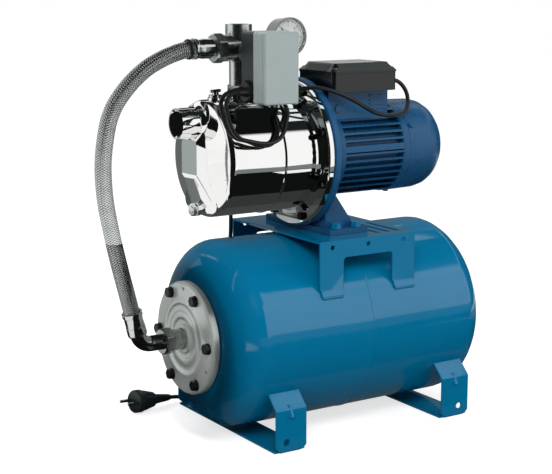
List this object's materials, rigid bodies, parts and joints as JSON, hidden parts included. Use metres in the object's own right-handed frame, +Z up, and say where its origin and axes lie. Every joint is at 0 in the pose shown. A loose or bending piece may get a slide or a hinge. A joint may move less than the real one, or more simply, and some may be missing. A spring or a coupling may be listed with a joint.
{
  "type": "domestic water pump",
  "caption": "Lying blue pressure vessel with a stainless jet pump and motor on a console, pressure switch, gauge and braided hose to the vessel flange.",
  "frame": {"origin": "on the floor under the middle of the set's outline, without its mains lead", "axes": "+X along the shaft from the suction port to the motor fan, -Y to the front, +Z up"},
  "size_m": [0.6155, 0.3831, 0.5909],
  "materials": {
    "vessel_enamel": "glossy blue enamel",
    "motor_paint": "satin blue paint on cast metal",
    "stainless": "bright annealed stainless sheet",
    "flange_steel": "plated pressed steel",
    "nickel": "nickel-plated brass, slightly dull",
    "bolt_dark": "phosphated steel",
    "bolt_zinc": "zinc-plated steel",
    "rubber": "matt moulded rubber",
    "brass": "machined brass",
    "box_plastic": "glossy dark moulded plastic",
    "cover_plastic": "light grey moulded plastic",
    "base_plastic": "dark moulded plastic",
    "white_plastic": "pale technical plastic",
    "ceramic": "fine-ground ceramic",
    "shaft_steel": "ground steel",
    "lamination": "stacked sheet iron",
    "copper": "enamelled copper wire",
    "braid": "woven stainless wire",
    "needle_black": "matt black",
    "gauge_metal": "polished steel case, pale dial",
    "clear": "clear window"
  },
  "bodies": {
    "set": {"tank_shell": "vessel_enamel", "tank_flange": "flange_steel", "flange_bolts": "bolt_dark", "tank_bladder": "rubber", "air_valve": "brass", "foot_suction_end": "vessel_enamel", "foot_motor_end": "vessel_enamel", "console": "vessel_enamel", "pump_casing": "stainless", "casing_ring": "stainless", "casing_bolts": "bolt_dark", "seal_plate": "stainless", "casing_gasket": "rubber", "seal_seat": "ceramic", "diffuser": "white_plastic", "ejector": "base_plastic", "motor_bracket": "motor_paint", "motor_frame": "motor_paint", "stator_core": "lamination", "stator_windings": "copper", "front_bearing": "shaft_steel", "rear_bearing": "shaft_steel", "rear_shield": "motor_paint", "fan_cover": "motor_paint", "fan_cover_screws": "bolt_zinc", "terminal_box": "box_plastic", "terminal_box_lid": "box_plastic", "lid_screws": "bolt_zinc", "capacitor": "white_plastic", "terminal_block": "white_plastic", "motor_gland": "base_plastic", "foot_bolts": "bolt_zinc", "switch_base": "base_plastic", "switch_cover": "cover_plastic", "switch_cover_screw": "bolt_zinc", "switch_springs": "bolt_zinc", "contact_block": "white_plastic", "switch_glands": "rubber", "gauge_case": "gauge_metal", "gauge_lens": "clear", "five_way_fitting": "nickel", "hose": "braid", "hose_ends": "nickel", "upper_hose_nut": "nickel", "lower_hose_nut": "nickel", "motor_cable": "rubber", "mains_cable": "rubber", "mains_coil": "rubber", "mains_plug": "base_plastic"},
    "shaft": {"motor_shaft": "shaft_steel", "rotor": "lamination", "impeller": "brass", "impeller_nut": "bolt_zinc", "cooling_fan": "base_plastic", "seal_ring": "bolt_dark"},
    "needle": {"gauge_needle": "needle_black"},
    "lever": {"switch_lever": "shaft_steel"},
    "filler": {"filler_plug": "nickel"},
    "drain": {"drain_plug": "nickel"},
    "valve_cap": {"air_valve_cap": "base_plastic"}
  },
  "joints": [
    {"name": "shaft_spin", "type": "hinge", "parent": "set", "child": "shaft", "pos_m": [0, 0, 0.3973], "axis": [1, 0, 0], "continuous": true},
    {"name": "gauge_reading", "type": "hinge", "parent": "set", "child": "needle", "pos_m": [-0.006, 0, 0.5628], "axis": [0, 1, 0], "range_deg": [0, 270]},
    {"name": "switch_trip", "type": "hinge", "parent": "set", "child": "lever", "pos_m": [-0.0775, -0.0515, 0.489], "axis": [1, 0, 0], "range_deg": [-2.5, 0], "stiffness_Nm_per_rad": 0.8},
    {"name": "filler_plug_out", "type": "slide", "parent": "set", "child": "filler", "axis": [0, 0, 1], "range_m": [0, 0.012]},
    {"name": "drain_plug_out", "type": "slide", "parent": "set", "child": "drain", "axis": [-1, 0, 0], "range_m": [0, 0.012]},
    {"name": "valve_cap_off", "type": "slide", "parent": "set", "child": "valve_cap", "axis": [1, 0, 0], "range_m": [0, 0.012]}
  ]
}
